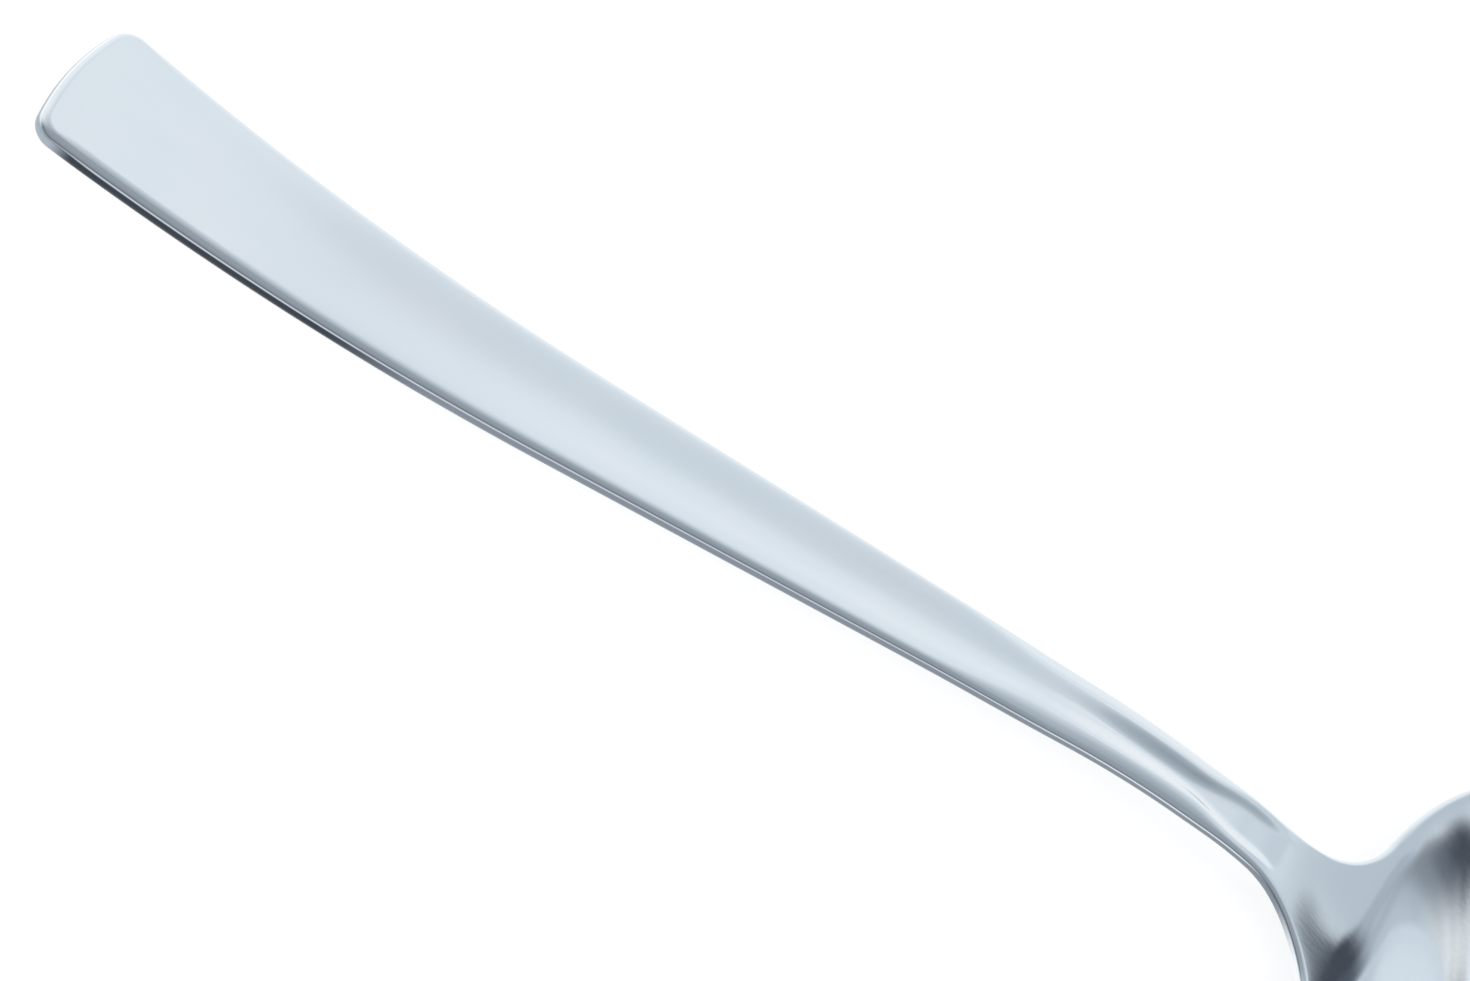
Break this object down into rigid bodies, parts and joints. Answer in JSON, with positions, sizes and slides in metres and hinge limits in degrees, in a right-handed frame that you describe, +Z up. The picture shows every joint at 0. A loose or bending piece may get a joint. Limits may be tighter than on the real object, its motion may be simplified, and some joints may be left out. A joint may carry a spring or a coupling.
{
  "type": "sauce spoon",
  "caption": "Polished steel sauce spoon with a flat tapering handle that rises to a narrow neck, and a wide oval bowl for serving sauce.",
  "frame": {"origin": "on the table, under the middle of the spoon's length and width", "axes": "+X along the spoon from the handle's end to the bowl's tip, +Y across it, +Z up"},
  "size_m": [0.1721, 0.07, 0.0183],
  "materials": {
    "polished_steel": "mirror polished"
  },
  "bodies": {
    "root": {"handle": "polished_steel", "bowl": "polished_steel"}
  },
  "joints": []
}
